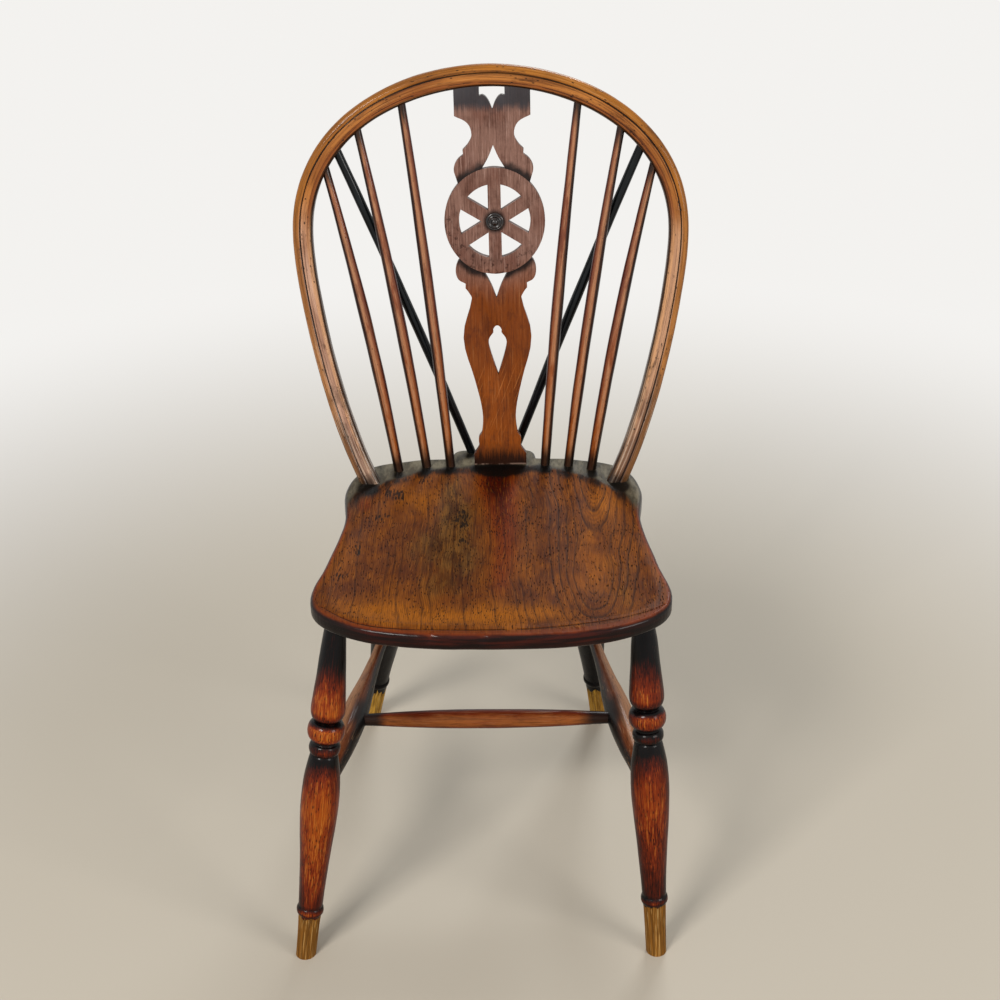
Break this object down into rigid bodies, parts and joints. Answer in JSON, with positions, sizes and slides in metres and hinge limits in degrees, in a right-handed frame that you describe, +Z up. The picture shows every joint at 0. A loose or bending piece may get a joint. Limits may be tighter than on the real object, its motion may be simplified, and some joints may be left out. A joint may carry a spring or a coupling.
{
  "type": "wooden side chair",
  "caption": "Hoop-back side chair: shaped seat, fretted wheel splat, round sticks, brace sticks, turned legs and stretchers; old dark finish, worn and peeled at the feet.",
  "frame": {"origin": "on the floor under the middle of the chair's footprint", "axes": "+Z up, -Y towards the front of the seat, +X to the right as seen from the front"},
  "size_m": [0.4567, 0.4877, 0.9093],
  "materials": {
    "elm_seat": "old elm, stained and varnished, worn and figured, satin",
    "hoop_wood": "bent hardwood, golden brown worn varnish with dark dirt, satin",
    "wedge_wood": "bare aged hardwood, dull",
    "splat_wood": "fretted board, purplish brown worn varnish, satin",
    "boss_black": "turned button, blackened varnish, glossy",
    "stick_wood": "red brown varnish worn golden on the round, blackened ends, glossy",
    "brace_black": "near black old finish, satin",
    "leg_wood": "red brown and black old finish, flaked off to bare wood at the feet",
    "stretcher_wood": "red brown old finish, worn dull on top and black below"
  },
  "bodies": {
    "root": {"seat": "elm_seat", "hoop": "hoop_wood", "hoop_wedge_left": "wedge_wood", "hoop_wedge_right": "wedge_wood", "splat": "splat_wood", "wheel_boss": "boss_black", "brace_left": "brace_black", "brace_right": "brace_black", "stick_left_outer": "stick_wood", "stick_left_middle": "stick_wood", "stick_left_inner": "stick_wood", "stick_right_inner": "stick_wood", "stick_right_middle": "stick_wood", "stick_right_outer": "stick_wood", "leg_front_left": "leg_wood", "leg_front_right": "leg_wood", "leg_rear_left": "leg_wood", "leg_rear_right": "leg_wood", "stretcher_left": "stretcher_wood", "stretcher_right": "stretcher_wood", "stretcher_cross": "stretcher_wood"}
  },
  "joints": []
}
